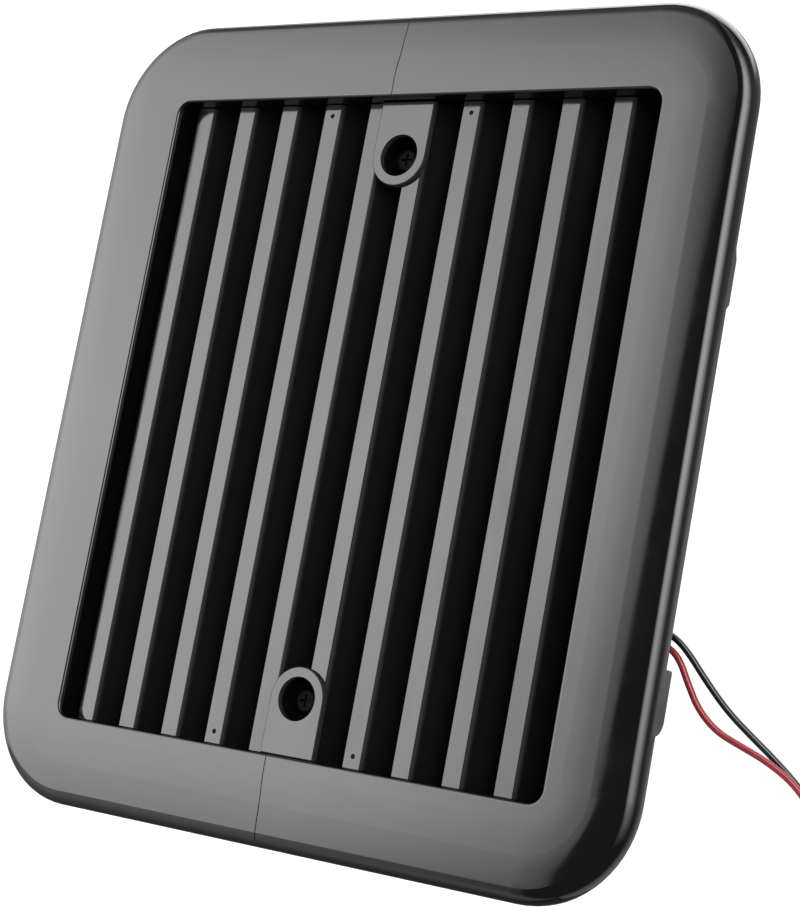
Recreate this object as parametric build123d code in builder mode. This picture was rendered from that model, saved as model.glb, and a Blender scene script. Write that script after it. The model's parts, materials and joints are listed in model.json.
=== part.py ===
from build123d import *
import os
from math import asin, cos, degrees, pi, radians, sin, tan

# A louvred side vent for a caravan or motorhome, with a 12 V exhaust fan behind its louvres.
#
# Millimetres. The vent stands upright as it does on the vehicle: +Z is up and its face looks along -Y.
# The origin is the middle of the rear face of the foam gasket, which is the plane of the vehicle's wall,
# so everything at y > 0 goes through the cut-out in that wall.

# --- Driving dimensions ----------------------------------------------------------------------------

FACE_WIDTH = 215.0
FACE_HEIGHT = 240.0
FACE_CORNER = 30.0
BORDER = 25.4  # from the opening to the outer edge, the same all round
OPENING_WIDTH = FACE_WIDTH - 2 * BORDER
OPENING_HEIGHT = FACE_HEIGHT - 2 * BORDER
OPENING_CORNER = 4.0
FACE_Y = -10.0  # front of the face
SKIRT_Y = -3.6  # rear edge of the bezel's skirt
WALL_Y = 0.0

# Bezel: a flat land round the opening, then a crown that tightens outwards, then a rounded edge
BEZEL_WALL = 2.2
FLAT_LAND = 4.9
GENTLE_WIDTH = 8.5
GENTLE_RADIUS = 240.0
CROWN_RADIUS = 104.0
EDGE_RADIUS = 4.5
LIP_WALL = 2.0
LIP_Y = -3.1  # rear edge of the wall round the opening
LIP_ROUND = 0.8

# Louvre panel
PANEL_FRONT = -3.0
PANEL_BACK = 2.8
PANEL_RIM = 5.8
PANEL_GAP = 0.2  # all round the opening
SLAT_COUNT = 10
SLAT_PITCH = 16.0
SLAT_FACE = 6.0
SLAT_FRONT = -4.6
SLAT_SKIN = 1.8
SLAT_SLANT = PANEL_BACK - SLAT_FRONT  # the fins lean back at 45 degrees
SLAT_LEFT = -78.8  # left edge of the first slat
LUG_RADIUS = 9.0
LUG_BORE = 6.2
LUG_FRONT = -5.9
LUG_FLOOR = 0.4
LUG_X = -0.8
LUG_OFFSET = 78.3  # height of each lug's hole above and below the middle
PANEL_SCREW = 1.6

# Rear frame: flange on the wall, spigot through the cut-out, plate that carries the fan
GASKET = 2.2
FLANGE_BACK = WALL_Y - GASKET
FLANGE_FRONT = -4.6
FLANGE_WIDTH = 205.0
FLANGE_HEIGHT = 230.0
FLANGE_CORNER = 25.0
SPIGOT_WIDTH = 181.0
SPIGOT_HEIGHT = 206.0
SPIGOT_CORNER = 14.0
SPIGOT_WALL = 1.8
SPIGOT_BACK = 16.0
PLATE_FRONT = 3.0
PLATE_BACK = 5.5
WALL_SCREW_X = 90.5
WALL_SCREW_Z = 103.0
WALL_SCREW_HOLE = 2.25

# Fan: 120 x 120 x 25, fixed on 105 mm centres
FAN_SIZE = 120.0
FAN_DEPTH = 25.0
FAN_FRONT = PLATE_BACK
FAN_BACK = FAN_FRONT + FAN_DEPTH
FAN_CORNER = 6.0
FAN_FLANGE = 3.5
FAN_BORE = 58.2
FAN_DUCT = 59.6
FAN_HOLE = 2.2
FAN_PITCH = 105.0
MOTOR_BASE = 21.0
STRUT_WIDTH = 4.5
STRUT_DEPTH = 3.0
LEAD_STRUT_ANGLE = -33.0  # the strut that carries the leads, from +X towards +Z
POST_OUTER = 4.9
POST_INNER = 3.55
POST_BACK = 21.5

# Rotor
BLADE_COUNT = 7
HUB_RADIUS = 21.0
HUB_FRONT = 9.9
HUB_BACK = 27.5
HUB_WALL = 1.4
TIP_RADIUS = 57.2
YOKE_OUTER = 19.55
YOKE_INNER = 18.65
MAGNET_INNER = 16.9
SHAFT_RADIUS = 1.5
SHAFT_FRONT = 8.3
YOKE_BACK = HUB_BACK - 1.65

# Stator
STATOR_OUTER = 16.2
CORE_FRONT = 12.5
CORE_BACK = 19.5
CORE_ARM = 5.0
COIL_INNER = 7.9
COIL_LENGTH = 5.4
COIL_FRONT = 9.8
COIL_BACK = 22.2
BOARD_FRONT = 8.1
BOARD_BACK = 9.3

# Leads: two insulated wires, 1.8 mm over the insulation
LEAD_RADIUS = 0.9
LEAD_CHANNEL = 4.5
CHANNEL_DEPTH = 2.3
CHANNEL_Y = 6.7  # depth of the leads in the strut's channel
GROMMET_Y = 12.5
GROMMET_Z = -46.4
GROMMET_SPACING = 3.2
GROMMET_OUT = SPIGOT_WIDTH / 2 + 2.1  # where the leads come free
TIP_LENGTH = 8.0
CONDUCTOR_RADIUS = 0.45

# The free leads, from the grommet: out to the right, down in a loose curve, then hanging
BLACK_ROUTE = [
    (GROMMET_OUT, GROMMET_Y, GROMMET_Z + GROMMET_SPACING / 2),
    (96.4, GROMMET_Y, GROMMET_Z + GROMMET_SPACING / 2),
    (100.3, 12.8, -46.2),
    (104.1, 13.7, -49.3),
    (109.2, 16.4, -55.9),
    (115.1, 19.2, -62.6),
    (121.3, 22.9, -68.0),
    (128.1, 26.1, -73.4),
    (135.6, 28.9, -80.2),
    (141.4, 31.0, -89.2),
    (145.2, 32.4, -100.0),
    (147.4, 33.2, -111.8),
    (148.4, 33.5, -124.2),
]
RED_ROUTE = [
    (GROMMET_OUT, GROMMET_Y, GROMMET_Z - GROMMET_SPACING / 2),
    (96.2, GROMMET_Y, GROMMET_Z - GROMMET_SPACING / 2),
    (99.6, 12.6, -49.2),
    (102.7, 12.8, -51.8),
    (105.8, 13.3, -57.5),
    (109.3, 14.4, -63.6),
    (114.6, 15.8, -68.4),
    (121.1, 17.6, -71.0),
    (127.7, 19.5, -73.6),
    (135.0, 21.9, -78.0),
    (141.4, 24.0, -85.4),
    (145.8, 25.5, -95.2),
    (148.2, 26.3, -106.2),
    (149.2, 26.7, -117.8),
    (149.4, 26.9, -129.4),
]

os.makedirs("parts", exist_ok=True)


# --- Helpers ---------------------------------------------------------------------------------------


def facing(y):
    """A sketch plane seen from the front of the vent, where an extrusion comes forward."""
    return Plane.XZ.offset(-y)


def on_corners(x, z):
    """The four places at x and z either side of the middle."""
    return [(-x, -z), (x, -z), (x, z), (-x, z)]


def save(piece, name):
    """Label a finished piece and write it under the same name."""
    piece.part.label = name
    export_step(piece.part, f"parts/{name}.step")


def ring(outer, inner, front, back):
    """A plain ring about the fan's axis."""
    with BuildPart() as made:
        with BuildSketch(facing(back)):
            Circle(outer)
            if inner:
                Circle(inner, mode=Mode.SUBTRACT)
        extrude(amount=back - front)
    return made


def arc_radii(route):
    """The largest tangent arc that each corner's two runs leave room for."""
    points = [Vector(*p) for p in route]
    radii = []
    for before, here, after in zip(points, points[1:], points[2:]):
        run_in = here - before
        run_out = after - here
        half_turn = radians(run_in.get_angle(run_out)) / 2
        radii.append(0.45 * min(run_in.length, run_out.length) / tan(half_turn))
    return radii


def wire_along(route, radii, radius):
    """A round wire whose centre follows straight runs joined by tangent arcs."""
    with BuildPart() as made:
        with BuildLine() as path:
            FilletPolyline(*route, radius=radii)
        line = path.line
        with BuildSketch(Plane(origin=line @ 0, z_dir=line % 0)):
            Circle(radius)
        sweep(path=line)
    return made, sum(edge.length for edge in line.edges())


# --- Front bezel -----------------------------------------------------------------------------------

half_width = FACE_WIDTH / 2
half_height = FACE_HEIGHT / 2
flat_edge = half_width - BORDER + FLAT_LAND
gentle_centre = (flat_edge, FACE_Y + GENTLE_RADIUS)
gentle_turn = asin(GENTLE_WIDTH / GENTLE_RADIUS)
gentle_angle = degrees(gentle_turn)
crown_centre = (
    gentle_centre[0] + (GENTLE_RADIUS - CROWN_RADIUS) * sin(gentle_turn),
    gentle_centre[1] - (GENTLE_RADIUS - CROWN_RADIUS) * cos(gentle_turn),
)
crown_turn = asin((half_width - EDGE_RADIUS - crown_centre[0]) / (CROWN_RADIUS - EDGE_RADIUS))
crown_angle = degrees(crown_turn)
edge_centre = (
    half_width - EDGE_RADIUS,
    crown_centre[1] - (CROWN_RADIUS - EDGE_RADIUS) * cos(crown_turn),
)
LIP_OUTER_X = OPENING_WIDTH / 2 + LIP_WALL
SNAP_PLACES = (-62.0, 0.0, 62.0)
SNAP_WIDTH = 10.0

with BuildPart() as front_bezel:
    # crowned border and skirt: one half by sweeping its section round the rim, the other mirrored
    with BuildLine(facing(FACE_Y)) as half_rim:
        FilletPolyline(
            (half_width, 0),
            (half_width, half_height),
            (-half_width, half_height),
            (-half_width, 0),
            radius=FACE_CORNER,
        )
    with BuildSketch(Plane.XY) as border_section:
        with BuildLine():
            CenterArc(gentle_centre, GENTLE_RADIUS, -90, gentle_angle)
            CenterArc(crown_centre, CROWN_RADIUS, gentle_angle - 90, crown_angle - gentle_angle)
            CenterArc(edge_centre, EDGE_RADIUS, crown_angle - 90, 90 - crown_angle)
            Polyline(
                (half_width, edge_centre[1]),
                (half_width, SKIRT_Y),
                (half_width - BEZEL_WALL, SKIRT_Y),
                (half_width - BEZEL_WALL, edge_centre[1]),
            )
            CenterArc(edge_centre, EDGE_RADIUS - BEZEL_WALL, crown_angle - 90, 90 - crown_angle)
            CenterArc(
                crown_centre, CROWN_RADIUS - BEZEL_WALL, gentle_angle - 90, crown_angle - gentle_angle
            )
            CenterArc(gentle_centre, GENTLE_RADIUS - BEZEL_WALL, -90, gentle_angle)
            Line((flat_edge, FACE_Y + BEZEL_WALL), (flat_edge, FACE_Y))
        make_face()
    sweep(sections=border_section.sketch, path=half_rim.line)
    mirror(about=Plane.XY)
    # flat land and the wall round the opening
    with BuildSketch(facing(FACE_Y + BEZEL_WALL)):
        RectangleRounded(
            2 * flat_edge, FACE_HEIGHT - 2 * (BORDER - FLAT_LAND), FACE_CORNER - BORDER + FLAT_LAND
        )
        RectangleRounded(OPENING_WIDTH, OPENING_HEIGHT, OPENING_CORNER, mode=Mode.SUBTRACT)
    extrude(amount=BEZEL_WALL)
    with BuildSketch(facing(LIP_Y)):
        RectangleRounded(
            OPENING_WIDTH + 2 * LIP_WALL, OPENING_HEIGHT + 2 * LIP_WALL, OPENING_CORNER + LIP_WALL
        )
        RectangleRounded(OPENING_WIDTH, OPENING_HEIGHT, OPENING_CORNER, mode=Mode.SUBTRACT)
    extrude(amount=LIP_Y - FACE_Y)
    front_face = front_bezel.faces().filter_by(Axis.Y).sort_by(Axis.Y)[0]
    fillet(front_face.inner_wires()[0].edges(), radius=LIP_ROUND)
    # ribs on the lip that the louvre panel's hooks snap over
    for z in SNAP_PLACES:
        with BuildSketch(Plane.XY.offset(z)):
            Polygon(
                (LIP_OUTER_X - 0.2, -5.8),
                (LIP_OUTER_X + 1.0, -5.3),
                (LIP_OUTER_X + 1.0, -4.7),
                (LIP_OUTER_X - 0.2, -4.5),
                align=None,
            )
        extrude(amount=SNAP_WIDTH / 2, both=True)
    # spacer tabs on the skirt's rear edge, two on each side
    with BuildSketch(Plane.YZ.offset(half_width - BEZEL_WALL)):
        with BuildLine():
            Line((SKIRT_Y - 0.2, -56.0), (-0.6, -56.0))
            Line((-0.6, -56.0), (-0.2, -56.6))
            Line((-0.2, -56.6), (-0.2, -68.6))
            ThreePointArc((-0.2, -68.6), (-1.3, -71.4), (SKIRT_Y - 0.2, -72.8))
            Line((SKIRT_Y - 0.2, -72.8), (SKIRT_Y - 0.2, -56.0))
        make_face()
        Polygon(
            (SKIRT_Y - 0.2, 53.6),
            (-2.4, 50.4),
            (-2.4, 38.4),
            (SKIRT_Y - 0.2, 36.8),
            align=None,
        )
    extrude(amount=BEZEL_WALL)
    mirror(about=Plane.YZ)
save(front_bezel, "front_bezel")


# --- Louvre panel ----------------------------------------------------------------------------------

panel_inner = (OPENING_WIDTH + 2 * PANEL_GAP, OPENING_HEIGHT + 2 * PANEL_GAP)
panel_outer = (panel_inner[0] + 2 * PANEL_RIM, panel_inner[1] + 2 * PANEL_RIM)
slat_half = panel_inner[1] / 2 + 0.4
slat_lefts = [SLAT_LEFT + SLAT_PITCH * k for k in range(SLAT_COUNT)]
LAND_END = 94.3  # where the slats' front faces end
END_GAP = 0.1  # how much further the slats reach at the depth of the panel's front
GATE_SLATS = (3, 6)
GATE_Z = 91.0
HOOK_X = LIP_OUTER_X + 1.6
HOOK_THICKNESS = 1.6

with BuildPart() as louvre_panel:
    # slats: a flat front land with a fin that leans back and to the right
    with BuildSketch(Plane.XY):
        with Locations(*[(left, 0) for left in slat_lefts]):
            Polygon(
                (0, SLAT_FRONT),
                (SLAT_FACE, SLAT_FRONT),
                (SLAT_FACE + SLAT_SLANT, PANEL_BACK),
                (SLAT_FACE + SLAT_SLANT - 2.8, PANEL_BACK),
                (SLAT_FACE - 1.0, SLAT_FRONT + SLAT_SKIN),
                (0, SLAT_FRONT + SLAT_SKIN),
                align=None,
            )
    extrude(amount=slat_half, both=True)
    front_edges = louvre_panel.edges().filter_by(Axis.Z).group_by(Axis.Y)[0].sort_by(Axis.X)
    fillet(front_edges[1::2], radius=1.2)
    left_edges = louvre_panel.edges().filter_by(Axis.Z).group_by(Axis.Y)[0].sort_by(Axis.X)
    fillet(left_edges[0::2], radius=0.3)
    # the slats step back at both ends, to go behind the bezel
    with BuildSketch(Plane.YZ):
        for side in (1, -1):
            Polygon(
                (SLAT_FRONT - 0.1, side * LAND_END),
                (SLAT_FRONT - 0.1, side * (slat_half + 1)),
                (PANEL_FRONT, side * (slat_half + 1)),
                (PANEL_FRONT, side * (LAND_END + END_GAP)),
                align=None,
            )
    extrude(amount=FACE_WIDTH / 2, both=True, mode=Mode.SUBTRACT)
    # rim behind the bezel
    with BuildSketch(facing(PANEL_BACK)):
        RectangleRounded(*panel_outer, SPIGOT_CORNER - SPIGOT_WALL)
        RectangleRounded(*panel_inner, OPENING_CORNER + PANEL_GAP, mode=Mode.SUBTRACT)
    extrude(amount=PANEL_BACK - PANEL_FRONT)
    # lugs at the top and bottom, deep cups that the panel's screws go into
    for side in (1, -1):
        with BuildSketch(facing(PANEL_BACK)):
            with Locations((LUG_X, side * LUG_OFFSET)):
                Circle(LUG_RADIUS)
            with Locations((LUG_X, side * (LUG_OFFSET + slat_half) / 2)):
                Rectangle(2 * LUG_RADIUS, slat_half - LUG_OFFSET)
        extrude(amount=PANEL_BACK - PANEL_FRONT)
        with BuildSketch(facing(PANEL_FRONT)):
            with Locations((LUG_X, side * LUG_OFFSET)):
                Circle(LUG_RADIUS)
            with Locations((LUG_X, side * (LUG_OFFSET + OPENING_HEIGHT / 2 - 0.2) / 2)):
                Rectangle(2 * LUG_RADIUS, OPENING_HEIGHT / 2 - 0.2 - LUG_OFFSET)
        extrude(amount=PANEL_FRONT - LUG_FRONT)
    lug_faces = louvre_panel.faces().filter_by(Axis.Y).group_by(Axis.Y)[0]
    fillet(lug_faces.edges(), radius=0.4)
    with BuildSketch(facing(LUG_FLOOR)):
        with Locations((LUG_X, LUG_OFFSET), (LUG_X, -LUG_OFFSET)):
            Circle(LUG_BORE)
    extrude(amount=LUG_FLOOR - LUG_FRONT + 1, mode=Mode.SUBTRACT)
    with BuildSketch(facing(PANEL_BACK)):
        with Locations((LUG_X, LUG_OFFSET), (LUG_X, -LUG_OFFSET)):
            Circle(PANEL_SCREW + 0.4)
    extrude(amount=PANEL_BACK - LUG_FLOOR, mode=Mode.SUBTRACT)
    # gate marks left by the moulding, near both ends of two slats
    with BuildSketch(facing(SLAT_FRONT + 0.4)):
        with Locations(
            *[(slat_lefts[k] + SLAT_FACE / 2, z) for k in GATE_SLATS for z in (GATE_Z, -GATE_Z)]
        ):
            Circle(0.7)
    extrude(amount=0.6, mode=Mode.SUBTRACT)
    # snap hooks that hold the bezel
    for z in SNAP_PLACES:
        with BuildSketch(Plane.XY.offset(z)):
            Polygon(
                (HOOK_X, PANEL_FRONT + 0.2),
                (HOOK_X, -5.9),
                (HOOK_X - 0.9, -5.9),
                (HOOK_X + 0.4, -7.3),
                (HOOK_X + HOOK_THICKNESS, -7.3),
                (HOOK_X + HOOK_THICKNESS, PANEL_FRONT + 0.2),
                align=None,
            )
            mirror(about=Plane.YZ)
        extrude(amount=(SNAP_WIDTH - 1) / 2, both=True)
save(louvre_panel, "louvre_panel")


# --- Rear frame and gasket -------------------------------------------------------------------------

spigot_inner = (SPIGOT_WIDTH - 2 * SPIGOT_WALL, SPIGOT_HEIGHT - 2 * SPIGOT_WALL)
NOTCH_WIDTH = 8.0
NOTCH_FLOOR = 9.0
BOSS_RADIUS = 4.2
BOSS_BACK = 12.0
RIB = 1.6
RIB_HEIGHT = 5.0
RIB_PLACE = 62.0
fan_corners = on_corners(FAN_PITCH / 2, FAN_PITCH / 2)

with BuildPart() as rear_frame:
    with BuildSketch(facing(FLANGE_BACK)):
        RectangleRounded(FLANGE_WIDTH, FLANGE_HEIGHT, FLANGE_CORNER)
    extrude(amount=FLANGE_BACK - FLANGE_FRONT)
    with BuildSketch(facing(SPIGOT_BACK)):
        RectangleRounded(SPIGOT_WIDTH, SPIGOT_HEIGHT, SPIGOT_CORNER)
    extrude(amount=SPIGOT_BACK - FLANGE_FRONT)
    with BuildSketch(facing(SPIGOT_BACK)):
        RectangleRounded(*spigot_inner, SPIGOT_CORNER - SPIGOT_WALL)
    extrude(amount=SPIGOT_BACK - FLANGE_FRONT, mode=Mode.SUBTRACT)
    with BuildSketch(facing(PLATE_BACK)):
        RectangleRounded(*spigot_inner, SPIGOT_CORNER - SPIGOT_WALL)
        Circle(FAN_BORE, mode=Mode.SUBTRACT)
    extrude(amount=PLATE_BACK - PLATE_FRONT)
    # bosses for the panel screws
    with BuildSketch(facing(BOSS_BACK)):
        with Locations((LUG_X, LUG_OFFSET), (LUG_X, -LUG_OFFSET)):
            Circle(BOSS_RADIUS)
    extrude(amount=BOSS_BACK - PLATE_BACK)
    # ribs that stiffen the plate above and below the fan, and beside it
    rib_start = FAN_SIZE / 2 + 3
    with BuildSketch(facing(PLATE_BACK + RIB_HEIGHT)):
        for side in (1, -1):
            upright_z = side * (rib_start + spigot_inner[1] / 2) / 2
            level_x = side * (rib_start + spigot_inner[0] / 2) / 2
            with Locations((-RIB_PLACE, upright_z), (RIB_PLACE, upright_z)):
                Rectangle(RIB, spigot_inner[1] / 2 - rib_start)
            with Locations((level_x, -RIB_PLACE), (level_x, RIB_PLACE)):
                Rectangle(spigot_inner[0] / 2 - rib_start, RIB)
    extrude(amount=RIB_HEIGHT)
    # holes: wall screws, panel screws, countersunk holes for the fan bolts
    with BuildSketch(facing(FLANGE_BACK)):
        with Locations(*on_corners(WALL_SCREW_X, WALL_SCREW_Z)):
            Circle(WALL_SCREW_HOLE)
    extrude(amount=FLANGE_BACK - FLANGE_FRONT, mode=Mode.SUBTRACT)
    with BuildSketch(facing(BOSS_BACK)):
        with Locations((LUG_X, LUG_OFFSET), (LUG_X, -LUG_OFFSET)):
            Circle(PANEL_SCREW + 0.05)
    extrude(amount=BOSS_BACK - PLATE_FRONT, mode=Mode.SUBTRACT)
    bolt_heads = [Plane(origin=(x, PLATE_FRONT, z), z_dir=(0, -1, 0)) for x, z in fan_corners]
    with Locations(*bolt_heads):
        CounterSinkHole(radius=FAN_HOLE, counter_sink_radius=4.0, depth=PLATE_BACK - PLATE_FRONT)
    # notch in the right-hand wall for the lead grommet
    with BuildSketch(Plane.YZ.offset(SPIGOT_WIDTH / 2 - SPIGOT_WALL - 1)):
        with Locations(((NOTCH_FLOOR + SPIGOT_BACK + 1) / 2, GROMMET_Z)):
            Rectangle(SPIGOT_BACK + 1 - NOTCH_FLOOR, NOTCH_WIDTH)
    extrude(amount=SPIGOT_WALL + 2, mode=Mode.SUBTRACT)
save(rear_frame, "rear_frame")

with BuildPart() as flange_gasket:
    with BuildSketch(facing(WALL_Y)):
        RectangleRounded(FLANGE_WIDTH, FLANGE_HEIGHT, FLANGE_CORNER)
        RectangleRounded(SPIGOT_WIDTH + 0.6, SPIGOT_HEIGHT + 0.6, SPIGOT_CORNER + 0.3, mode=Mode.SUBTRACT)
        with Locations(*on_corners(WALL_SCREW_X, WALL_SCREW_Z)):
            Circle(WALL_SCREW_HOLE, mode=Mode.SUBTRACT)
    extrude(amount=GASKET)
save(flange_gasket, "flange_gasket")

with BuildPart() as panel_screws:
    for z in (LUG_OFFSET, -LUG_OFFSET):
        with BuildSketch(facing(LUG_FLOOR)):
            with Locations((LUG_X, z)):
                Circle(3.4)
        extrude(amount=2.0)
        with BuildSketch(facing(BOSS_BACK - 1.5)):
            with Locations((LUG_X, z)):
                Circle(PANEL_SCREW)
        extrude(amount=BOSS_BACK - 1.5 - LUG_FLOOR)
    fillet(panel_screws.edges().group_by(Axis.Y)[0], radius=0.9)
    with BuildSketch(facing(LUG_FLOOR - 0.9)):
        with Locations((LUG_X, LUG_OFFSET), (LUG_X, -LUG_OFFSET)):
            Rectangle(3.6, 0.8)
            Rectangle(0.8, 3.6)
    extrude(amount=2, mode=Mode.SUBTRACT)
save(panel_screws, "panel_screws")


# --- Fan housing -----------------------------------------------------------------------------------

strut_angles = [LEAD_STRUT_ANGLE + 90 * k for k in range(4)]
lead_way = Vector(cos(radians(LEAD_STRUT_ANGLE)), 0, sin(radians(LEAD_STRUT_ANGLE)))

with BuildPart() as fan_housing:
    for back in (FAN_FRONT + FAN_FLANGE, FAN_BACK):
        with BuildSketch(facing(back)):
            RectangleRounded(FAN_SIZE, FAN_SIZE, FAN_CORNER)
            with Locations(*on_corners(FAN_PITCH / 2, FAN_PITCH / 2)):
                Circle(FAN_HOLE, mode=Mode.SUBTRACT)
        extrude(amount=FAN_FLANGE)
    with BuildSketch(facing(FAN_BACK)):
        Circle(FAN_DUCT)
    extrude(amount=FAN_DEPTH)
    with BuildSketch(facing(FAN_BACK)):
        Circle(FAN_BORE)
    extrude(amount=FAN_DEPTH, mode=Mode.SUBTRACT)
    # flared inlet
    rear_circles = fan_housing.edges().filter_by(GeomType.CIRCLE).group_by(Axis.Y)[-1]
    fillet(rear_circles.sort_by(SortBy.RADIUS)[-1], radius=1.6)
    # struts and motor base
    for angle in strut_angles:
        width = LEAD_CHANNEL + 3.0 if angle == LEAD_STRUT_ANGLE else STRUT_WIDTH
        with BuildSketch(facing(FAN_FRONT + STRUT_DEPTH)):
            with Locations(Rotation(0, 0, angle)):
                with Locations(((MOTOR_BASE + FAN_DUCT) / 2 - 1.2, 0)):
                    Rectangle(FAN_DUCT - MOTOR_BASE + 1.6, width)
        extrude(amount=STRUT_DEPTH)
    with BuildSketch(facing(BOARD_BACK)):
        Circle(MOTOR_BASE)
    extrude(amount=BOARD_BACK - FAN_FRONT)
    with BuildSketch(facing(BOARD_BACK)):
        Circle(MOTOR_BASE - 1.4)
    extrude(amount=BOARD_BACK - FAN_FRONT - 1.6, mode=Mode.SUBTRACT)
    with BuildSketch(facing(POST_BACK)):
        Circle(POST_OUTER)
    extrude(amount=POST_BACK - FAN_FRONT)
    with BuildSketch(facing(POST_BACK)):
        Circle(POST_INNER)
    extrude(amount=POST_BACK - FAN_FRONT, mode=Mode.SUBTRACT)
    # four pads that the circuit board rests on
    with BuildSketch(facing(BOARD_FRONT)):
        with PolarLocations(14.5, 4, start_angle=LEAD_STRUT_ANGLE + 45):
            Rectangle(3.0, 3.0)
    extrude(amount=BOARD_FRONT - FAN_FRONT - 1.6)
    # channel for the leads, open at the front, from the motor base to the housing's edge
    with BuildSketch(facing(FAN_FRONT + CHANNEL_DEPTH)):
        with Locations(Rotation(0, 0, LEAD_STRUT_ANGLE)):
            with Locations((46.0, 0)):
                Rectangle(70.0, LEAD_CHANNEL)
    extrude(amount=CHANNEL_DEPTH, mode=Mode.SUBTRACT)
save(fan_housing, "fan_housing")


# --- Fan fasteners ---------------------------------------------------------------------------------

BOLT_RADIUS = 1.95
WASHER_THICKNESS = 0.8
NUT_THICKNESS = 3.2
NUT_FLATS = 7.0
BOLT_END = FAN_BACK + WASHER_THICKNESS + NUT_THICKNESS + 1.6

with BuildPart() as fan_bolts:
    for x, z in fan_corners:
        with BuildSketch(Plane.XY.offset(z)):
            Polygon(
                (x, PLATE_FRONT),
                (x + 3.7, PLATE_FRONT),
                (x + BOLT_RADIUS, PLATE_FRONT + 1.75),
                (x + BOLT_RADIUS, BOLT_END - 0.5),
                (x + BOLT_RADIUS - 0.5, BOLT_END),
                (x, BOLT_END),
                align=None,
            )
        revolve(axis=Axis((x, 0, z), (0, 1, 0)))
    with BuildSketch(facing(PLATE_FRONT + 0.9)):
        with Locations(*fan_corners):
            Rectangle(3.4, 0.8)
            Rectangle(0.8, 3.4)
    extrude(amount=2, mode=Mode.SUBTRACT)
save(fan_bolts, "fan_bolts")

with BuildPart() as fan_washers:
    with BuildSketch(facing(FAN_BACK + WASHER_THICKNESS)):
        with Locations(*fan_corners):
            Circle(4.5)
            Circle(2.15, mode=Mode.SUBTRACT)
    extrude(amount=WASHER_THICKNESS)
save(fan_washers, "fan_washers")

with BuildPart() as fan_nuts:
    with BuildSketch(facing(FAN_BACK + WASHER_THICKNESS + NUT_THICKNESS)):
        with Locations(*fan_corners):
            RegularPolygon(NUT_FLATS / 2, 6, major_radius=False)
            Circle(BOLT_RADIUS + 0.03, mode=Mode.SUBTRACT)
    extrude(amount=NUT_THICKNESS)
    hexagon_ends = fan_nuts.edges().filter_by(GeomType.LINE).group_by(Axis.Y)
    chamfer(hexagon_ends[-1], length=0.4)
save(fan_nuts, "fan_nuts")


# --- Impeller --------------------------------------------------------------------------------------

BLADE_MIDDLE = 19.0
# radius, chord, pitch from the plane of rotation, forward lean, thickness
BLADE_STATIONS = [
    (17.5, 21.0, 48.0, 0.0, 2.2),
    (38.0, 29.0, 35.0, 2.5, 1.9),
    (60.0, 37.0, 25.0, 8.0, 1.5),
]
CAMBER = 0.09

with BuildPart() as one_blade:
    for radius, chord, pitch, lean, thickness in BLADE_STATIONS:
        along = Vector(cos(radians(pitch)), sin(radians(pitch)))
        across = Vector(-along.Y, along.X)
        middle = Vector(lean, 0)
        nose = middle - along * chord / 2
        tail = middle + along * chord / 2
        station = Plane(origin=(radius, BLADE_MIDDLE, 0), x_dir=(0, 0, 1), z_dir=(1, 0, 0))
        with BuildSketch(station):
            with BuildLine():
                ThreePointArc(nose, middle + across * (CAMBER * chord + thickness / 2), tail)
                ThreePointArc(tail, middle + across * (CAMBER * chord - thickness / 2), nose)
            make_face()
    loft()

with BuildPart() as impeller:
    with BuildSketch(facing(HUB_BACK)):
        Circle(HUB_RADIUS)
    extrude(amount=HUB_BACK - HUB_FRONT)
    fillet(impeller.edges().group_by(Axis.Y)[-1], radius=2.0)
    for k in range(BLADE_COUNT):
        add(one_blade.part.rotate(Axis.Y, 360 * k / BLADE_COUNT))
    with BuildSketch(facing(HUB_BACK - HUB_WALL)):
        Circle(HUB_RADIUS - HUB_WALL)
    extrude(amount=HUB_BACK - HUB_WALL - HUB_FRONT, mode=Mode.SUBTRACT)
    # blade tips follow the duct
    with BuildSketch(facing(FAN_BACK + 5)):
        Circle(TIP_RADIUS + 20)
        Circle(TIP_RADIUS, mode=Mode.SUBTRACT)
    extrude(amount=FAN_DEPTH + 10, mode=Mode.SUBTRACT)
    # nothing of the blades reaches in front of the hub
    with BuildSketch(facing(HUB_FRONT)):
        Circle(TIP_RADIUS + 20)
    extrude(amount=10, mode=Mode.SUBTRACT)
save(impeller, "impeller")

save(ring(15.5, 0, HUB_BACK, HUB_BACK + 0.2), "hub_foil")


# --- Rotor inside the hub --------------------------------------------------------------------------

YOKE_FRONT = 10.6
YOKE_SHEET = 0.9
COLLAR_RADIUS = 3.0
COLLAR_FRONT = 22.9

with BuildPart() as rotor_yoke:
    with BuildSketch(facing(YOKE_BACK)):
        Circle(YOKE_OUTER)
    extrude(amount=YOKE_BACK - YOKE_FRONT)
    fillet(rotor_yoke.edges().group_by(Axis.Y)[-1], radius=1.0)
    with BuildSketch(facing(YOKE_BACK - YOKE_SHEET)):
        Circle(YOKE_INNER)
        Circle(COLLAR_RADIUS, mode=Mode.SUBTRACT)
    extrude(amount=YOKE_BACK - YOKE_SHEET - YOKE_FRONT, mode=Mode.SUBTRACT)
    with BuildSketch(facing(COLLAR_FRONT)):
        Circle(COLLAR_RADIUS + 1)
    extrude(amount=COLLAR_FRONT - YOKE_FRONT, mode=Mode.SUBTRACT)
    with BuildSketch(facing(YOKE_BACK)):
        Circle(SHAFT_RADIUS)
    extrude(amount=YOKE_BACK - YOKE_FRONT, mode=Mode.SUBTRACT)
save(rotor_yoke, "rotor_yoke")

save(ring(YOKE_INNER, MAGNET_INNER, 11.5, 22.0), "magnet_ring")

CLIP_GROOVE = 1.15
CLIP_FRONT = 9.2
CLIP_THICKNESS = 0.4

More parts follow.
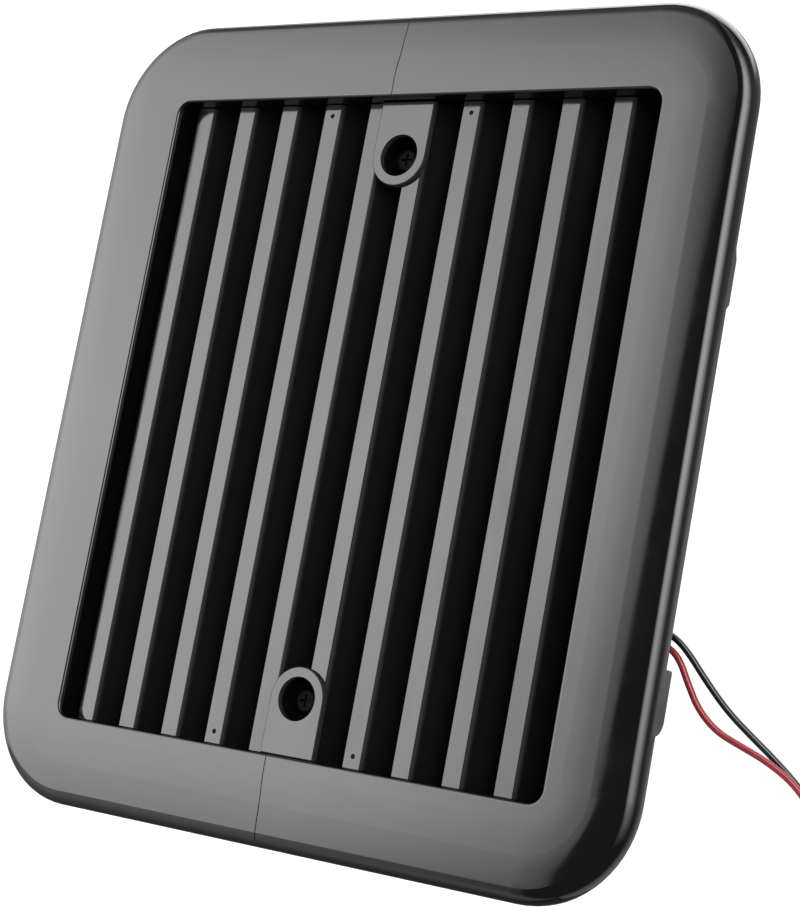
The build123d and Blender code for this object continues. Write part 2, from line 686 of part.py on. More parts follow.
with BuildPart() as rotor_shaft:
    with BuildSketch(facing(YOKE_BACK)):
        Circle(SHAFT_RADIUS)
    extrude(amount=YOKE_BACK - SHAFT_FRONT)
    chamfer(rotor_shaft.edges().group_by(Axis.Y)[0], length=0.3)
    with BuildSketch(facing(CLIP_FRONT + CLIP_THICKNESS + 0.05)):
        Circle(SHAFT_RADIUS + 1)
        Circle(CLIP_GROOVE, mode=Mode.SUBTRACT)
    extrude(amount=CLIP_THICKNESS + 0.1, mode=Mode.SUBTRACT)
save(rotor_shaft, "rotor_shaft")

with BuildPart() as shaft_clip:
    with BuildSketch(facing(CLIP_FRONT + CLIP_THICKNESS)):
        Circle(2.6)
        Circle(CLIP_GROOVE, mode=Mode.SUBTRACT)
        with Locations((2.0, 0)):
            Rectangle(3.0, 1.4, mode=Mode.SUBTRACT)
    extrude(amount=CLIP_THICKNESS)
save(shaft_clip, "shaft_clip")

save(ring(2.8, SHAFT_RADIUS, 22.25, 22.8), "thrust_washer")


# --- Bearing and stator ----------------------------------------------------------------------------

save(ring(POST_INNER - 0.02, SHAFT_RADIUS + 0.03, 10.2, 20.2), "sleeve_bearing")
save(ring(POST_INNER - 0.05, SHAFT_RADIUS + 0.25, 20.4, 21.0), "oil_seal")
save(ring(16.0, 0, FAN_FRONT - 0.2, FAN_FRONT), "base_label")

with BuildPart() as stator_core:
    with BuildSketch(facing(CORE_BACK)):
        Circle(STATOR_OUTER)
        Circle(STATOR_OUTER - 1.8, mode=Mode.SUBTRACT)
        Circle(7.2)
        Rectangle(2 * (STATOR_OUTER - 1), CORE_ARM)
        Rectangle(CORE_ARM, 2 * (STATOR_OUTER - 1))
        with PolarLocations(STATOR_OUTER, 4, start_angle=45):
            Rectangle(8.0, 3.2, mode=Mode.SUBTRACT)
        Circle(POST_OUTER + 0.05, mode=Mode.SUBTRACT)
    extrude(amount=CORE_BACK - CORE_FRONT)
save(stator_core, "stator_core")


def insulator(front, back):
    """A moulded plate that keeps the windings off the core."""
    with BuildPart() as made:
        with BuildSketch(facing(back)):
            Circle(7.4)
            Rectangle(2 * (STATOR_OUTER - 1.9), CORE_ARM + 0.6)
            Rectangle(CORE_ARM + 0.6, 2 * (STATOR_OUTER - 1.9))
            Circle(POST_OUTER + 0.1, mode=Mode.SUBTRACT)
        extrude(amount=back - front)
    return made


save(insulator(CORE_FRONT - 0.6, CORE_FRONT), "front_insulator")
save(insulator(CORE_BACK, CORE_BACK + 0.6), "rear_insulator")

coil_middle = (COIL_FRONT + COIL_BACK) / 2
with BuildPart() as stator_windings:
    with BuildSketch(Plane.YZ.offset(COIL_INNER)):
        with Locations((coil_middle, 0)):
            RectangleRounded(COIL_BACK - COIL_FRONT, 9.6, 2.4)
            Rectangle(CORE_BACK - CORE_FRONT + 1.4, CORE_ARM + 0.8, mode=Mode.SUBTRACT)
    extrude(amount=COIL_LENGTH)
    first_coil = stator_windings.part
    for k in (1, 2, 3):
        add(first_coil.rotate(Axis.Y, 90 * k))
save(stator_windings, "stator_windings")

with BuildPart() as driver_board:
    with BuildSketch(facing(BOARD_BACK)):
        Circle(18.2)
        Circle(POST_OUTER + 0.3, mode=Mode.SUBTRACT)
    extrude(amount=BOARD_BACK - BOARD_FRONT)
save(driver_board, "driver_board")

with BuildPart() as driver_chip:
    with BuildSketch(facing(BOARD_BACK + 1.2)):
        with Locations(Rotation(0, 0, 45)):
            with Locations((13.6, 0)):
                Rectangle(3.0, 4.2)
    extrude(amount=1.2)
save(driver_chip, "driver_chip")

with BuildPart() as smoothing_capacitor:
    with BuildSketch(facing(BOARD_BACK + 1.8)):
        with Locations(Rotation(0, 0, 135)):
            with Locations((13.4, 0)):
                Circle(1.9)
    extrude(amount=1.8)
    fillet(smoothing_capacitor.edges().group_by(Axis.Y)[-1], radius=0.4)
save(smoothing_capacitor, "smoothing_capacitor")


# --- Leads -----------------------------------------------------------------------------------------

across_channel = Vector(-lead_way.Z, 0, lead_way.X)
LEAD_SHIFT = 1.1  # either side of the channel's middle
SOLDER_REACH = 12.4
SOLDER_RADIUS = 1.0
INNER_BENDS = [6.0, 8.0, 2.5]
grommet_in = SPIGOT_WIDTH / 2 - SPIGOT_WALL - 2.1

with BuildPart() as lead_grommet:
    groove_in = SPIGOT_WIDTH / 2 - SPIGOT_WALL - 0.05
    groove_out = SPIGOT_WIDTH / 2 + 0.05
    for start, end, width, front, back in (
        (grommet_in, groove_in, 11.0, 7.8, 17.0),
        (groove_in, groove_out, NOTCH_WIDTH - 0.2, NOTCH_FLOOR + 0.1, 16.4),
        (groove_out, GROMMET_OUT, 11.0, 7.8, 17.0),
    ):
        with BuildSketch(Plane.YZ.offset(start)):
            with Locations(((front + back) / 2, GROMMET_Z)):
                RectangleRounded(back - front, width, 1.6)
        extrude(amount=end - start)
    with BuildSketch(Plane.YZ.offset(grommet_in)):
        with Locations(
            (GROMMET_Y, GROMMET_Z + GROMMET_SPACING / 2), (GROMMET_Y, GROMMET_Z - GROMMET_SPACING / 2)
        ):
            Circle(LEAD_RADIUS + 0.05)
    extrude(amount=GROMMET_OUT - grommet_in, mode=Mode.SUBTRACT)
save(lead_grommet, "lead_grommet")


def inner_route(side):
    """From the solder joint, along the strut's channel, to the grommet; side is +1 or -1."""
    shift = across_channel * (side * LEAD_SHIFT)

    def in_channel(reach, y):
        return lead_way * reach + shift + Vector(0, y, 0)

    hole_z = GROMMET_Z + side * GROMMET_SPACING / 2
    return [
        in_channel(SOLDER_REACH + SOLDER_RADIUS, CHANNEL_Y),
        in_channel(FAN_SIZE / 2 / lead_way.X + 1.5, CHANNEL_Y),
        Vector(76.0, GROMMET_Y - 2.6, hole_z - side * 0.3),
        Vector(grommet_in - 1.5, GROMMET_Y, hole_z),
        Vector(GROMMET_OUT, GROMMET_Y, hole_z),
    ]


with BuildPart() as solder_joints:
    with BuildSketch(facing(BOARD_FRONT)):
        with Locations(Rotation(0, 0, LEAD_STRUT_ANGLE)):
            with Locations((SOLDER_REACH, LEAD_SHIFT), (SOLDER_REACH, -LEAD_SHIFT)):
                Circle(SOLDER_RADIUS)
    extrude(amount=BOARD_FRONT - CHANNEL_Y + CONDUCTOR_RADIUS)
    fillet(solder_joints.edges().group_by(Axis.Y)[0], radius=0.5)
save(solder_joints, "solder_joints")

for colour, side, route in (("black", 1, BLACK_ROUTE), ("red", -1, RED_ROUTE)):
    inner_points = inner_route(side)
    inner, inner_length = wire_along(inner_points, INNER_BENDS, LEAD_RADIUS)
    save(inner, f"lead_{colour}_inner")

    radii = arc_radii(route)
    free, free_length = wire_along(route, radii, LEAD_RADIUS)
    save(free, f"lead_{colour}")
    print(colour, "lead radii", [round(r, 1) for r in radii])
    print(colour, "lead: free", round(free_length, 1), "mm, inner", round(inner_length, 1), "mm")
    plain_volume = pi * LEAD_RADIUS**2 * free_length
    print(colour, "lead: volume over section times length", round(free.part.volume / plain_volume, 4))

    # stripped and tinned end, set into the insulation
    end_way = (Vector(*route[-1]) - Vector(*route[-2])).normalized()
    with BuildPart() as tinned_end:
        with BuildSketch(Plane(origin=Vector(*route[-1]), z_dir=end_way)):
            Circle(CONDUCTOR_RADIUS)
        extrude(amount=TIP_LENGTH)
        fillet(tinned_end.edges().sort_by(Axis.Z)[0], radius=0.3)
    save(tinned_end, f"lead_{colour}_end")
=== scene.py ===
"""A louvred side vent with a 12 V exhaust fan behind it: looks, leads, light and camera round the CAD part.

Metres, in the part's own frame: +Z is up, the vent's face looks along -Y, and the wall is the plane y = 0.
"""

import json
from math import radians

import bpy
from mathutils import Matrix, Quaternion, Vector


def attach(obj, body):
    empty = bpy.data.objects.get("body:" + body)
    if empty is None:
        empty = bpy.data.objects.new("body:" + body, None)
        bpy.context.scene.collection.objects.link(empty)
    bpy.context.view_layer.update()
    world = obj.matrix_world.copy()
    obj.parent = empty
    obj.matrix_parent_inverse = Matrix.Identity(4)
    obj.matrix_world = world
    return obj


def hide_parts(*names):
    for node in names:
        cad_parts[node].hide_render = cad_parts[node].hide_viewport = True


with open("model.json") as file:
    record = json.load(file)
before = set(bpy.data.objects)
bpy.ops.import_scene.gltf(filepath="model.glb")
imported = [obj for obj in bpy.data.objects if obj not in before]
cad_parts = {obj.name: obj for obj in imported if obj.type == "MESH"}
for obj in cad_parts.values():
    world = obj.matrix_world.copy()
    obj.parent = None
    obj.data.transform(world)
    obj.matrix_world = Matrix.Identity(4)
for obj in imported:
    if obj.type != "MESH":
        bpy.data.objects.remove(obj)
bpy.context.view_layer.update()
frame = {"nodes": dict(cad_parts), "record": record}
RECORD_COLOURS = {m["slot"]: m["base_color"][:3] for m in frame["record"]["materials"]}
SLOT_OF_NODE = {s["node"]: s["material_slot"] for s in frame["record"]["subparts"]}


# --- Camera ----------------------------------------------------------------------------------------

CAMERA_PLACE = Vector((0.3402, -0.4774, -0.0916))
CAMERA_WAY = Vector((-0.5560, 0.8215, 0.1268))
CAMERA_ROLL = radians(10.43)
CAMERA_LENS = 83.48
CAMERA_SHIFT = (-0.0012, 0.045)

camera_data = bpy.data.cameras.new("camera")
camera_data.lens = CAMERA_LENS
camera_data.sensor_width = 36.0
camera_data.shift_x, camera_data.shift_y = CAMERA_SHIFT
camera_data.clip_start = 0.01
camera = bpy.data.objects.new("camera", camera_data)
camera.location = CAMERA_PLACE
camera.rotation_mode = "QUATERNION"
camera.rotation_quaternion = CAMERA_WAY.to_track_quat("-Z", "Y") @ Quaternion((0, 0, 1), CAMERA_ROLL)
bpy.context.scene.collection.objects.link(camera)
bpy.context.scene.camera = camera
bpy.context.scene.view_settings.view_transform = "Standard"


# --- Leads -----------------------------------------------------------------------------------------

LEAD_DIAMETER = 0.0018
BLACK_ROUTE = [
    (0.0926, 0.0125, -0.0448),
    (0.0964, 0.0125, -0.0448),
    (0.1003, 0.0128, -0.0462),
    (0.1041, 0.0137, -0.0493),
    (0.1092, 0.0164, -0.0559),
    (0.1151, 0.0192, -0.0626),
    (0.1213, 0.0229, -0.0680),
    (0.1281, 0.0261, -0.0734),
    (0.1356, 0.0289, -0.0802),
    (0.1414, 0.0310, -0.0892),
    (0.1452, 0.0324, -0.1000),
    (0.1474, 0.0332, -0.1118),
    (0.1484, 0.0335, -0.1242),
]
RED_ROUTE = [
    (0.0926, 0.0125, -0.0480),
    (0.0962, 0.0125, -0.0480),
    (0.0996, 0.0126, -0.0492),
    (0.1027, 0.0128, -0.0518),
    (0.1058, 0.0133, -0.0575),
    (0.1093, 0.0144, -0.0636),
    (0.1146, 0.0158, -0.0684),
    (0.1211, 0.0176, -0.0710),
    (0.1277, 0.0195, -0.0736),
    (0.1350, 0.0219, -0.0780),
    (0.1414, 0.0240, -0.0854),
    (0.1458, 0.0255, -0.0952),
    (0.1482, 0.0263, -0.1062),
    (0.1492, 0.0267, -0.1178),
    (0.1494, 0.0269, -0.1294),
]


def lead(colour, route):
    """A free lead: one smooth round curve along the route.

    Its radius is set at its points and its bevel depth is 1, so that the curve's box is the lead's box.
    """
    data = bpy.data.curves.new(f"free_lead_{colour}", "CURVE")
    data.dimensions = "3D"
    spline = data.splines.new("NURBS")
    spline.points.add(len(route) - 1)
    for point, place in zip(spline.points, route):
        point.co = (*place, 1.0)
        point.radius = LEAD_DIAMETER / 2
    spline.order_u = 3
    spline.use_endpoint_u = True
    spline.resolution_u = 12
    data.bevel_depth = 1.0
    data.bevel_resolution = 6
    data.use_fill_caps = True
    piece = bpy.data.objects.new(f"free_lead_{colour}", data)
    bpy.context.scene.collection.objects.link(piece)
    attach(piece, "vent")
    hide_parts(f"lead_{colour}")
    return piece


black_lead = lead("black", BLACK_ROUTE)
red_lead = lead("red", RED_ROUTE)


# --- Material building -----------------------------------------------------------------------------


class Shader:
    """A material round one Principled shader, worked out in the object's own coordinates."""

    def __init__(self, name, roughness, **constants):
        self.material = bpy.data.materials.new(name)
        self.material.use_nodes = True
        self.nodes = self.material.node_tree.nodes
        self.links = self.material.node_tree.links
        self.principled = self.nodes["Principled BSDF"]
        self.principled.inputs["Roughness"].default_value = roughness
        for key, value in constants.items():
            self.principled.inputs[key.replace("_", " ")].default_value = value
        self.place = self.nodes.new("ShaderNodeTexCoord").outputs["Object"]

    def put(self, socket, value):
        """Sets a socket to a number, a colour or another socket."""
        if isinstance(value, bpy.types.NodeSocket):
            self.links.new(value, socket)
        elif isinstance(value, (tuple, list)) and len(value) == 3 and socket.type == "RGBA":
            socket.default_value = (*value, 1.0)
        else:
            socket.default_value = value

    def math(self, operation, a, b=0.0):
        """One arithmetic step on two numbers or sockets."""
        node = self.nodes.new("ShaderNodeMath")
        node.operation = operation
        self.put(node.inputs[0], a)
        self.put(node.inputs[1], b)
        return node.outputs[0]

    def part(self, axis):
        """One coordinate of the place, X, Y or Z."""
        node = self.nodes.new("ShaderNodeSeparateXYZ")
        self.put(node.inputs[0], self.place)
        return node.outputs["XYZ".index(axis)]

    def stretched(self, scale):
        """The place, scaled by three numbers, so that a texture on it is drawn out."""
        node = self.nodes.new("ShaderNodeVectorMath")
        node.operation = "MULTIPLY"
        self.put(node.inputs[0], self.place)
        node.inputs[1].default_value = scale
        return node.outputs[0]

    def noise(self, scale, detail=3.0, roughness=0.55, distortion=0.0, stretch=None):
        """Cloudy noise, scale clouds to the metre, drawn out if stretch is given."""
        node = self.nodes.new("ShaderNodeTexNoise")
        self.put(node.inputs["Vector"], self.stretched(stretch) if stretch else self.place)
        node.inputs["Scale"].default_value = scale
        node.inputs["Detail"].default_value = detail
        node.inputs["Roughness"].default_value = roughness
        node.inputs["Distortion"].default_value = distortion
        return node.outputs[0]

    def remap(self, value, low, high, new_low=0.0, new_high=1.0, smooth=False):
        """The value carried from low and high to new_low and new_high, and held at its ends."""
        node = self.nodes.new("ShaderNodeMapRange")
        node.interpolation_type = "SMOOTHSTEP" if smooth else "LINEAR"
        self.put(node.inputs["Value"], value)
        ends = {"From Min": low, "From Max": high, "To Min": new_low, "To Max": new_high}
        for key, number in ends.items():
            self.put(node.inputs[key], number)
        return node.outputs[0]

    def mix(self, amount, a, b):
        """From colour a to colour b."""
        node = self.nodes.new("ShaderNodeMix")
        node.data_type = "RGBA"
        self.put(node.inputs[0], amount)
        self.put(node.inputs[6], a)
        self.put(node.inputs[7], b)
        return node.outputs[2]

    def colour(self, value):
        """Sets the base colour."""
        self.put(self.principled.inputs["Base Color"], value)

    def roughness(self, value):
        """Sets the roughness."""
        self.put(self.principled.inputs["Roughness"], value)

    def bump(self, height, distance, strength=1.0, under=None):
        """Adds a relief of the given height in metres, over another one if given."""
        node = self.nodes.new("ShaderNodeBump")
        node.inputs["Distance"].default_value = distance
        node.inputs["Strength"].default_value = strength
        self.put(node.inputs["Height"], height)
        if under is not None:
            self.put(node.inputs["Normal"], under)
        self.put(self.principled.inputs["Normal"], node.outputs[0])
        return node.outputs[0]


def shade(colour, factor):
    """A colour made lighter or darker."""
    return tuple(part * factor for part in colour)


# --- Materials -------------------------------------------------------------------------------------

KNIT_LEFT = -0.0068
KNIT_RIGHT = -0.0012
KNIT_HALF_WIDTH = 0.00035
KNIT_DEPTH = 0.00007
# depths between which the fins' colour darkens from front to back, as painted shade in the gaps between the
# slats
FIN_FRONT = -0.0046
FIN_FULL_PAINTED_SHADE = -0.0036


def moulded_face():
    """The bezel's polished ABS: handling smudges, flow marks, two knit lines and specks of dust."""
    made = Shader("moulded_face", 0.08, Specular_IOR_Level=0.5)
    base = RECORD_COLOURS["face_abs"]
    clouds = made.noise(22.0, detail=4.0, distortion=0.6)
    made.colour(made.mix(clouds, shade(base, 0.05), shade(base, 0.15)))
    smudges = made.noise(38.0, detail=5.0, roughness=0.62, distortion=1.2)
    streaks = made.noise(60.0, detail=3.0, stretch=(0.18, 1.0, 1.0))
    wiped = made.math("MULTIPLY", made.remap(smudges, 0.45, 0.75), made.remap(streaks, 0.35, 0.7))
    made.roughness(made.remap(wiped, 0.0, 1.0, 0.06, 0.15))
    waves = made.bump(made.noise(30.0, detail=1.0), 0.00006, 0.5)
    relief = made.bump(made.noise(190.0, detail=2.0), 0.00001, 0.5, under=waves)
    # knit lines, where the plastic's two fronts met above and below the opening
    wander = made.noise(30.0, detail=2.0)
    middle = made.remap(wander, 0.0, 1.0, KNIT_LEFT, KNIT_RIGHT)
    away = made.math("ABSOLUTE", made.math("SUBTRACT", made.part("X"), middle))
    knit = made.remap(away, 0.0, KNIT_HALF_WIDTH, 1.0, 0.0, smooth=True)
    made.bump(knit, -KNIT_DEPTH, 1.0, under=relief)
    return made.material


def louvre_land():
    """The fronts of the slats and the screw lugs: polished ABS with cloudy wear."""
    made = Shader("louvre_land", 0.18, Specular_IOR_Level=0.5)
    base = RECORD_COLOURS["louvre_abs"]
    clouds = made.noise(45.0, detail=5.0, distortion=0.8)
    made.colour(made.mix(clouds, shade(base, 0.2), shade(base, 0.5)))
    worn = made.noise(120.0, detail=4.0, stretch=(1.0, 1.0, 0.35))
    made.roughness(made.remap(worn, 0.4, 0.75, 0.08, 0.20))
    made.bump(made.noise(260.0, detail=3.0), 0.00001, 0.3)
    return made.material


def louvre_flank():
    """The fins and the sides of the screw cups, matt black, lighter near their fronts and darker behind as
    painted shade in the gaps between the slats.
    """
    made = Shader("louvre_flank", 0.7, Specular_IOR_Level=0.03)
    base = RECORD_COLOURS["louvre_abs"]
    # painted shade: the colour darkens from the slats' front plane back into the gaps between them
    depth = made.remap(made.part("Y"), FIN_FRONT, FIN_FULL_PAINTED_SHADE, smooth=True)
    clouds = made.noise(60.0, detail=4.0)
    painted_gap_shade = made.mix(clouds, shade(base, 0.04), shade(base, 0.12))
    made.colour(made.mix(depth, shade(base, 0.8), painted_gap_shade))
    made.roughness(made.remap(clouds, 0.3, 0.7, 0.6, 0.8))
    made.bump(made.noise(400.0, detail=2.0), 0.00002, 0.4)
    return made.material


def skirt():
    """The bezel's outer wall, satin where the face is polished."""
    made = Shader("bezel_skirt", 0.35, Specular_IOR_Level=0.5)
    base = RECORD_COLOURS["face_abs"]
    clouds = made.noise(70.0, detail=4.0)
    made.colour(made.mix(clouds, shade(base, 0.3), shade(base, 0.6)))
    made.roughness(made.remap(clouds, 0.3, 0.7, 0.28, 0.42))
    made.bump(made.noise(300.0, detail=2.0), 0.00001, 0.4)
    return made.material


def grained_plastic(slot, low, high, grain):
    """Matt moulded plastic with a fine spark-eroded grain."""
    made = Shader(slot, 0.5)
    base = RECORD_COLOURS[slot]
    made.colour(made.mix(made.noise(30.0, detail=4.0), shade(base, 0.7), shade(base, 1.3)))
    made.roughness(made.remap(made.noise(70.0, detail=4.0), 0.3, 0.7, low, high))
    made.bump(made.noise(grain, detail=2.0), 0.00004, 0.5)
    return made.material


def foam():
    """Closed-cell foam: small round cells, no gloss."""
    made = Shader("gasket_foam", 0.95, Specular_IOR_Level=0.2)
    base = RECORD_COLOURS["gasket_foam"]
    cells = made.nodes.new("ShaderNodeTexVoronoi")
    made.put(cells.inputs["Vector"], made.place)
    cells.inputs["Scale"].default_value = 1400.0
    walls = made.remap(cells.outputs["Distance"], 0.0, 0.8)
    made.colour(made.mix(walls, shade(base, 0.5), shade(base, 1.3)))
    made.bump(cells.outputs["Distance"], -0.0002, 0.7)
    return made.material


def metal(slot, low, high, brush=(1.0, 1.0, 1.0), scale=600.0, tint=0.9):
    """Bare or plated metal, finely scratched along one way."""
    made = Shader(slot, 0.3, Metallic=1.0)
    base = RECORD_COLOURS[slot]
    made.colour(made.mix(made.noise(90.0, detail=4.0), shade(base, tint), base))
    scratches = made.noise(scale, detail=3.0, stretch=brush)
    made.roughness(made.remap(scratches, 0.3, 0.7, low, high))
    made.bump(scratches, 0.00001, 0.4)
    return made.material


def foil():
    """A plain silver foil label, with the fine creases it gets when it is rubbed down."""
    made = Shader("silver_foil", 0.25, Metallic=1.0)
    base = RECORD_COLOURS["silver_foil"]
    made.colour(made.mix(made.noise(60.0, detail=3.0), shade(base, 0.9), base))
    creases = made.noise(150.0, detail=5.0, roughness=0.7, distortion=1.5)
    made.roughness(made.remap(creases, 0.3, 0.7, 0.18, 0.38))
    made.bump(creases, 0.00006, 0.3)
    return made.material


def windings():
    """Enamelled copper wire, wound across the pole, with painted shade in the grooves between the turns."""
    made = Shader("copper", 0.28, Metallic=1.0)
    base = RECORD_COLOURS["copper"]
    waves = made.nodes.new("ShaderNodeTexWave")
    waves.bands_direction = "X"
    made.put(waves.inputs["Vector"], made.place)
    waves.inputs["Scale"].default_value = 900.0
    waves.inputs["Distortion"].default_value = 0.4
    # painted shade: the colour darkens in the grooves between the turns, where the relief is low
    made.colour(made.mix(waves.outputs["Fac"], shade(base, 0.5), base))
    made.bump(waves.outputs["Fac"], 0.00012, 0.8)
    return made.material


def laminations():
    """The edges of stacked steel sheets."""
    made = Shader("lamination", 0.4, Metallic=1.0)
    base = RECORD_COLOURS["lamination"]
    waves = made.nodes.new("ShaderNodeTexWave")
    waves.bands_direction = "Y"
    made.put(waves.inputs["Vector"], made.place)
    waves.inputs["Scale"].default_value = 330.0
    made.colour(made.mix(waves.outputs["Fac"], shade(base, 0.55), base))
    made.bump(waves.outputs["Fac"], 0.00005, 0.6)
    return made.material


def circuit_board():
    """Solder mask over faint copper tracks."""
    made = Shader("board", 0.3, Coat_Weight=0.5, Coat_Roughness=0.12)
    base = RECORD_COLOURS["board"]
    tracks = made.nodes.new("ShaderNodeTexBrick")
    made.put(tracks.inputs["Vector"], made.place)
    tracks.inputs["Scale"].default_value = 260.0
    track_fac = tracks.outputs["Fac"]
    made.colour(made.mix(track_fac, base, shade(base, 1.6)))
    made.bump(track_fac, 0.00003, 0.6)
    return made.material


def wire_insulation(colour, darker):
    """Glossy PVC over strands: faint dents and rubbed patches along it."""
    made = Shader(f"{colour}_pvc", 0.22, Specular_IOR_Level=0.5)
    base = shade(RECORD_COLOURS[f"{colour}_pvc"], darker)
    made.colour(made.mix(made.noise(140.0, detail=3.0), shade(base, 0.8), shade(base, 1.15)))
    made.roughness(made.remap(made.noise(220.0, detail=4.0), 0.35, 0.7, 0.16, 0.34))
    made.bump(made.noise(300.0, detail=2.0), 0.00001, 0.4)
    return made.material


def speckled(slot, roughness, scale=500.0, metallic=0.0):
    """A plain small part whose colour and gloss vary a little."""
    made = Shader(slot, roughness, Metallic=metallic)
    base = RECORD_COLOURS[slot]
    grain = made.noise(scale, detail=4.0)
    made.colour(made.mix(grain, shade(base, 0.75), shade(base, 1.15)))
    made.roughness(made.remap(grain, 0.3, 0.7, roughness * 0.8, roughness * 1.25))
    made.bump(grain, 0.00003, 0.4)
    return made.material


def blackened():
    """Black oxide on the panel screws, dull and nearly without reflections."""
    made = Shader("black_steel", 0.6, Specular_IOR_Level=0.05)
    base = RECORD_COLOURS["black_steel"]
    grain = made.noise(900.0, detail=4.0)
    made.colour(made.mix(grain, shade(base, 0.05), shade(base, 0.15)))
    made.roughness(made.remap(grain, 0.3, 0.7, 0.5, 0.7))
    made.bump(grain, 0.00003, 0.4)
    return made.material


MATERIALS = {
    "face_abs": moulded_face(),
    "louvre_abs": louvre_land(),
    "frame_abs": grained_plastic("frame_abs", 0.42, 0.6, 900.0),
    "gasket_foam": foam(),
    "zinc_steel": metal("zinc_steel", 0.22, 0.42),
    "black_steel": blackened(),
    "fan_pbt": grained_plastic("fan_pbt", 0.34, 0.5, 1300.0),
    "silver_foil": foil(),
    "label_film": speckled("label_film", 0.4, 300.0),
    "yoke_steel": metal("yoke_steel", 0.25, 0.4, brush=(1.0, 0.1, 1.0)),
    "ferrite": speckled("ferrite", 0.6, 900.0),
    "shaft_steel": metal("shaft_steel", 0.1, 0.2, brush=(1.0, 0.1, 1.0)),
    "bronze": speckled("bronze", 0.45, 1500.0, metallic=1.0),
    "nylon": speckled("nylon", 0.45),
    "lamination": laminations(),
    "copper": windings(),
    "board": circuit_board(),
    "epoxy": speckled("epoxy", 0.5, 800.0),
    "can_aluminium": metal("can_aluminium", 0.2, 0.35),
    "solder": metal("solder", 0.15, 0.3, scale=1200.0),
    "grommet_rubber": speckled("grommet_rubber", 0.7, 700.0),
    "black_pvc": wire_insulation("black", 0.5),
    "red_pvc": wire_insulation("red", 0.42),
    "tinned_copper": metal("tinned_copper", 0.2, 0.35, scale=2500.0),
}

for name, node in frame["nodes"].items():
    node.data.materials.clear()
    node.data.materials.append(MATERIALS[SLOT_OF_NODE[name]])

black_lead.data.materials.append(MATERIALS["black_pvc"])
red_lead.data.materials.append(MATERIALS["red_pvc"])


def split_faces(node, material, first):
    """Gives the second material to the faces of a node for which first(face) is false."""
    mesh = frame["nodes"][node].data
    mesh.materials.append(material)
    for face in mesh.polygons:
        face.material_index = 0 if first(face) else 1


FACING_FRONT = -0.95
LAND_DEPTH = -0.0042
SKIRT_DEPTH = -0.0049


def is_land(face):
    """True for the flat fronts of the slats and lugs."""
    return face.normal.y < FACING_FRONT and face.center.y < LAND_DEPTH


def is_front(face):
    """True for everything on the bezel in front of its skirt."""
    return face.center.y < SKIRT_DEPTH


split_faces("louvre_panel", louvre_flank(), is_land)
split_faces("front_bezel", skirt(), is_front)


# --- Light -----------------------------------------------------------------------------------------

FLOOR_Z = -0.45
FLOOR_SIZE = 12.0
BACKDROP = 1.15
ROOM = 0.12
MAIN_BOX = 6.5
WINDOW = 7.6
BACK_WALL = 0.7
BACK_LAMP = 3.5


class Sky:
    """The studio's light by direction: azimuth 0 is straight in front of the face, positive to the right."""

    def __init__(self):
        world = bpy.data.worlds.new("studio")
        world.use_nodes = True
        bpy.context.scene.world = world
        self.nodes = world.node_tree.nodes
        self.links = world.node_tree.links
        self.background = self.nodes["Background"]
        self.background.inputs["Color"].default_value = (1.0, 1.0, 1.0, 1.0)
        way = self.nodes.new("ShaderNodeSeparateXYZ")
        self.links.new(self.nodes.new("ShaderNodeTexCoord").outputs["Generated"], way.inputs[0])
        x, y, z = way.outputs
        front = self.math("MULTIPLY", y, -1.0)
        self.azimuth = self.math("DEGREES", self.math("ARCTAN2", x, front))
        self.elevation = self.math("DEGREES", self.math("ARCSINE", z))

    def math(self, operation, a, b=0.0):
        """One arithmetic step on two numbers or sockets."""
        node = self.nodes.new("ShaderNodeMath")
        node.operation = operation
        for socket, value in zip(node.inputs, (a, b)):
            if isinstance(value, bpy.types.NodeSocket):
                self.links.new(value, socket)
            else:
                socket.default_value = value
        return node.outputs[0]

    def step(self, value, start, end, low=0.0, high=1.0):
        """A smooth step from low at start to high at end."""
        node = self.nodes.new("ShaderNodeMapRange")
        node.interpolation_type = "SMOOTHSTEP"
        self.links.new(value, node.inputs["Value"])
        for key, number in (("From Min", start), ("From Max", end), ("To Min", low), ("To Max", high)):
            node.inputs[key].default_value = number
        return node.outputs[0]

    def ramp(self, value, *stops):
        """Levels joined by straight lines, each stop an angle and a level up to 1."""
        start = stops[0][0]
        span = stops[-1][0] - start
        node = self.nodes.new("ShaderNodeValToRGB")
        self.links.new(self.math("DIVIDE", self.math("SUBTRACT", value, start), span), node.inputs[0])
        elements = node.color_ramp.elements
        for _ in stops[2:]:
            elements.new(0.5)
        for element, (angle, level) in zip(elements, stops):
            element.position = (angle - start) / span
            element.color = (level, level, level, 1.0)
        return node.outputs[0]

    def product(self, *factors):
        """All the factors multiplied together."""
        total = factors[0]
        for factor in factors[1:]:
            total = self.math("MULTIPLY", total, factor)
        return total


sky = Sky()
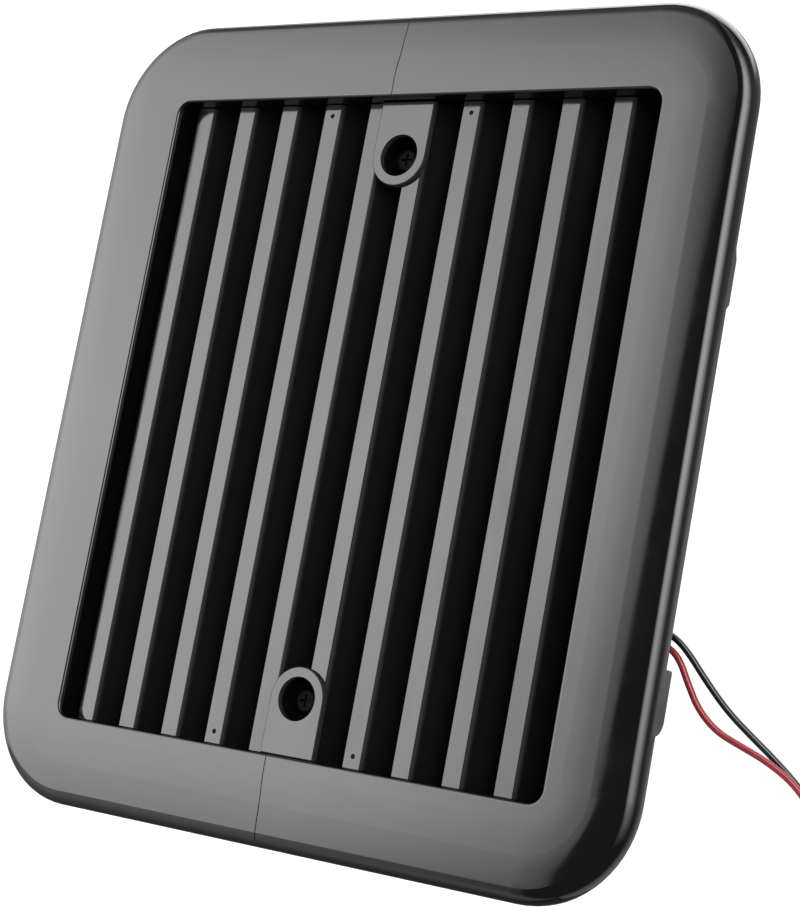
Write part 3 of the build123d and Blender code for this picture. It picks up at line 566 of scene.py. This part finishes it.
# a large softbox in front on the left, with a leaning right edge and a weak bounce from the floor
leaning = sky.math("ADD", sky.azimuth, sky.math("MULTIPLY", sky.elevation, -0.28))
upper_right = sky.math("ADD", sky.azimuth, sky.elevation)
main_box = sky.product(
    sky.ramp(
        sky.azimuth,
        (-125.0, 0.0), (-110.0, 0.05), (-99.0, 0.20), (-89.0, 0.29),
        (-70.0, 0.54), (-57.0, 0.95), (-41.0, 1.0),
    ),
    sky.ramp(
        leaning,
        (-34.0, 1.0), (-31.2, 0.85), (-28.6, 0.66), (-25.9, 0.44),
        (-23.6, 0.32), (-21.4, 0.22), (-20.6, 0.0),
    ),
    sky.ramp(
        sky.elevation,
        (-90.0, 0.12), (-40.0, 0.13), (-27.0, 0.18), (-14.0, 0.22), (-12.0, 0.65), (-6.0, 0.77),
        (0.0, 0.97), (8.0, 1.0), (16.0, 0.83), (28.0, 0.58), (41.0, 0.45), (50.0, 0.12), (90.0, 0.05),
    ),
    sky.step(upper_right, -16.0, 12.0, 1.0, 0.5),
    MAIN_BOX,
)
# a window on the right
window_side = sky.math("ADD", sky.azimuth, sky.math("MULTIPLY", sky.elevation, 0.35))
window = sky.product(
    sky.ramp(
        window_side,
        (27.0, 0.0), (31.0, 0.3), (36.0, 0.6), (44.0, 1.0), (58.0, 1.0), (76.0, 0.45), (92.0, 0.05),
    ),
    sky.ramp(sky.elevation, (-30.0, 0.0), (-8.0, 0.3), (2.0, 0.7), (10.0, 1.0), (35.0, 1.0), (60.0, 0.1)),
    WINDOW,
)
# the wall behind on the right, and a lamp high up behind for the views of the back
back_wall = sky.product(
    sky.step(sky.azimuth, 110.0, 140.0),
    sky.step(sky.elevation, 11.0, 15.0, 1.0, 0.0),
    BACK_WALL,
)
behind = sky.math("ABSOLUTE", sky.azimuth)
back_lamp = sky.product(
    sky.step(behind, 110.0, 140.0),
    sky.step(sky.elevation, 34.0, 48.0),
    BACK_LAMP,
)
total = ROOM
for light in (main_box, window, back_wall, back_lamp):
    total = sky.math("ADD", light, total)

seen = sky.nodes.new("ShaderNodeLightPath").outputs["Is Camera Ray"]
pick = sky.nodes.new("ShaderNodeMix")
pick.data_type = "FLOAT"
sky.links.new(seen, pick.inputs[0])
sky.links.new(total, pick.inputs[2])
pick.inputs[3].default_value = BACKDROP
sky.links.new(pick.outputs[0], sky.background.inputs["Strength"])

floor_data = bpy.data.meshes.new("floor")
half = FLOOR_SIZE / 2
corners = [(-half, -half, FLOOR_Z), (half, -half, FLOOR_Z), (half, half, FLOOR_Z), (-half, half, FLOOR_Z)]
floor_data.from_pydata(corners, [], [(0, 1, 2, 3)])
floor = bpy.data.objects.new("floor", floor_data)
bpy.context.scene.collection.objects.link(floor)
pale = Shader("pale_floor", 0.9)
pale.colour(pale.mix(pale.noise(3.0), (0.9, 0.9, 0.9), (0.94, 0.94, 0.94)))
floor_data.materials.append(pale.material)
floor.visible_glossy = False  # the sky's lower half stands for its bounce
